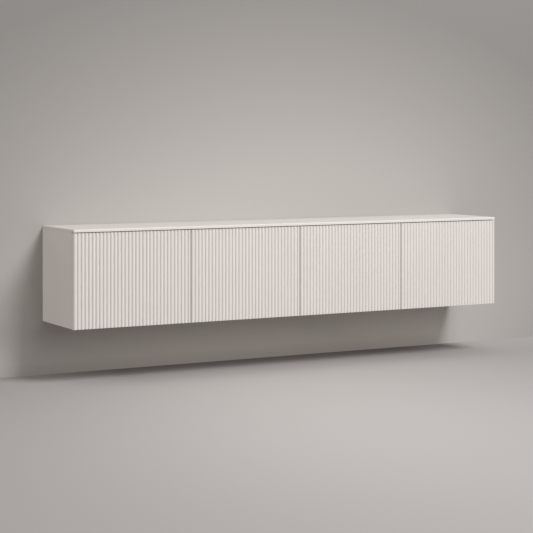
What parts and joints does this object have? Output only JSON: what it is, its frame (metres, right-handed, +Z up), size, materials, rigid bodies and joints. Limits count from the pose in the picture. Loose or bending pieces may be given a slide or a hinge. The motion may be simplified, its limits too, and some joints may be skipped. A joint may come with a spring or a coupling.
{
  "type": "floating media console",
  "caption": "Wall-hung low media console with fluted handle-less doors on concealed cup hinges, shelves, cable outlets and a hidden hanging rail.",
  "frame": {"origin": "middle of the wall rail's screw line, on the wall plane", "axes": "+X to the right seen from the front, +Y into the wall, +Z up"},
  "size_m": [2, 0.34, 0.384],
  "materials": {
    "lacquer": "warm white satin lacquer over fibreboard",
    "inner_board": "warm white melamine on chipboard",
    "back_board": "warm white foil on thin fibreboard",
    "nickel_plate": "bright nickel plate on pressed and die-cast parts",
    "zinc_steel": "zinc-plated steel",
    "galvanised_steel": "galvanised sheet steel",
    "white_plastic": "moulded white plastic",
    "grey_plastic": "moulded grey plastic",
    "soft_rubber": "clear soft bumper"
  },
  "bodies": {
    "cabinet": {"cover_top": "lacquer", "left_side_panel": "lacquer", "right_side_panel": "lacquer", "carcass_top": "inner_board", "bottom_panel": "inner_board", "partition_1": "inner_board", "partition_2": "inner_board", "partition_3": "inner_board", "back_panel": "back_board", "cam_locks": "nickel_plate", "hinge_arms": "nickel_plate", "mounting_plates": "nickel_plate", "connector_bolts": "zinc_steel", "cover_screws": "zinc_steel", "hanger_hooks": "zinc_steel", "hanger_screws": "zinc_steel", "hinge_arm_pins": "zinc_steel", "hinge_screws": "zinc_steel", "wall_rail": "galvanised_steel", "cable_grommets": "white_plastic", "hanger_housings": "white_plastic", "shelf_pins": "nickel_plate", "latch_housings": "grey_plastic", "door_bumpers": "soft_rubber", "shelf_1": "inner_board", "shelf_2": "inner_board", "shelf_3": "inner_board", "shelf_4": "inner_board"},
    "door_leaf_1": {"door_1": "lacquer", "hinge_cups_1": "nickel_plate", "hinge_cup_pins_1": "zinc_steel", "cup_screws_1": "zinc_steel", "strike_plate_1": "zinc_steel"},
    "outer_link_pair_1": {"outer_links_1": "nickel_plate"},
    "inner_link_pair_1": {"inner_links_1": "nickel_plate"},
    "plunger_1": {"latch_plunger_1": "grey_plastic"},
    "door_leaf_2": {"door_2": "lacquer", "hinge_cups_2": "nickel_plate", "hinge_cup_pins_2": "zinc_steel", "cup_screws_2": "zinc_steel", "strike_plate_2": "zinc_steel"},
    "outer_link_pair_2": {"outer_links_2": "nickel_plate"},
    "inner_link_pair_2": {"inner_links_2": "nickel_plate"},
    "plunger_2": {"latch_plunger_2": "grey_plastic"},
    "door_leaf_3": {"door_3": "lacquer", "hinge_cups_3": "nickel_plate", "hinge_cup_pins_3": "zinc_steel", "cup_screws_3": "zinc_steel", "strike_plate_3": "zinc_steel"},
    "outer_link_pair_3": {"outer_links_3": "nickel_plate"},
    "inner_link_pair_3": {"inner_links_3": "nickel_plate"},
    "plunger_3": {"latch_plunger_3": "grey_plastic"},
    "door_leaf_4": {"door_4": "lacquer", "hinge_cups_4": "nickel_plate", "hinge_cup_pins_4": "zinc_steel", "cup_screws_4": "zinc_steel", "strike_plate_4": "zinc_steel"},
    "outer_link_pair_4": {"outer_links_4": "nickel_plate"},
    "inner_link_pair_4": {"inner_links_4": "nickel_plate"},
    "plunger_4": {"latch_plunger_4": "grey_plastic"}
  },
  "joints": [
    {"name": "door_1_outer_link_swing", "type": "hinge", "parent": "cabinet", "child": "outer_link_pair_1", "pos_m": [-0.9616, -0.3029, -0.129], "axis": [0, 0, 1], "range_deg": [0, 22.23]},
    {"name": "door_1_open", "type": "hinge", "parent": "outer_link_pair_1", "child": "door_leaf_1", "pos_m": [-0.9893, -0.3227, -0.129], "axis": [0, 0, -1], "range_deg": [0, 117.23]},
    {"name": "door_1_inner_link_swing", "type": "hinge", "parent": "cabinet", "child": "inner_link_pair_1", "pos_m": [-0.956, -0.315, -0.129], "axis": [0, 0, 1], "range_deg": [0, 13.59]},
    {"name": "latch_1_press", "type": "slide", "parent": "cabinet", "child": "plunger_1", "axis": [0, 1, 0], "range_m": [0, 0.002], "stiffness_N_per_m": 300},
    {"name": "door_2_outer_link_swing", "type": "hinge", "parent": "cabinet", "child": "outer_link_pair_2", "pos_m": [-0.46085, -0.3029, -0.129], "axis": [0, 0, 1], "range_deg": [0, 22.23]},
    {"name": "door_2_open", "type": "hinge", "parent": "outer_link_pair_2", "child": "door_leaf_2", "pos_m": [-0.48855, -0.3227, -0.129], "axis": [0, 0, -1], "range_deg": [0, 117.23]},
    {"name": "door_2_inner_link_swing", "type": "hinge", "parent": "cabinet", "child": "inner_link_pair_2", "pos_m": [-0.45525, -0.315, -0.129], "axis": [0, 0, 1], "range_deg": [0, 13.59]},
    {"name": "latch_2_press", "type": "slide", "parent": "cabinet", "child": "plunger_2", "axis": [0, 1, 0], "range_m": [0, 0.002], "stiffness_N_per_m": 300},
    {"name": "door_3_outer_link_swing", "type": "hinge", "parent": "cabinet", "child": "outer_link_pair_3", "pos_m": [0.46085, -0.3029, -0.129], "axis": [0, 0, -1], "range_deg": [0, 22.23]},
    {"name": "door_3_open", "type": "hinge", "parent": "outer_link_pair_3", "child": "door_leaf_3", "pos_m": [0.48855, -0.3227, -0.129], "axis": [0, 0, 1], "range_deg": [0, 117.23]},
    {"name": "door_3_inner_link_swing", "type": "hinge", "parent": "cabinet", "child": "inner_link_pair_3", "pos_m": [0.45525, -0.315, -0.129], "axis": [0, 0, -1], "range_deg": [0, 13.59]},
    {"name": "latch_3_press", "type": "slide", "parent": "cabinet", "child": "plunger_3", "axis": [0, 1, 0], "range_m": [0, 0.002], "stiffness_N_per_m": 300},
    {"name": "door_4_outer_link_swing", "type": "hinge", "parent": "cabinet", "child": "outer_link_pair_4", "pos_m": [0.9616, -0.3029, -0.129], "axis": [0, 0, -1], "range_deg": [0, 22.23]},
    {"name": "door_4_open", "type": "hinge", "parent": "outer_link_pair_4", "child": "door_leaf_4", "pos_m": [0.9893, -0.3227, -0.129], "axis": [0, 0, 1], "range_deg": [0, 117.23]},
    {"name": "door_4_inner_link_swing", "type": "hinge", "parent": "cabinet", "child": "inner_link_pair_4", "pos_m": [0.956, -0.315, -0.129], "axis": [0, 0, -1], "range_deg": [0, 13.59]},
    {"name": "latch_4_press", "type": "slide", "parent": "cabinet", "child": "plunger_4", "axis": [0, 1, 0], "range_m": [0, 0.002], "stiffness_N_per_m": 300}
  ],
  "couplings": [
    {"joint": "door_1_outer_link_swing", "follows": "door_1_open", "ratio": 0.18963},
    {"joint": "door_1_inner_link_swing", "follows": "door_1_open", "ratio": 0.11588},
    {"joint": "door_2_outer_link_swing", "follows": "door_2_open", "ratio": 0.18963},
    {"joint": "door_2_inner_link_swing", "follows": "door_2_open", "ratio": 0.11588},
    {"joint": "door_3_outer_link_swing", "follows": "door_3_open", "ratio": 0.18963},
    {"joint": "door_3_inner_link_swing", "follows": "door_3_open", "ratio": 0.11588},
    {"joint": "door_4_outer_link_swing", "follows": "door_4_open", "ratio": 0.18963},
    {"joint": "door_4_inner_link_swing", "follows": "door_4_open", "ratio": 0.11588}
  ]
}
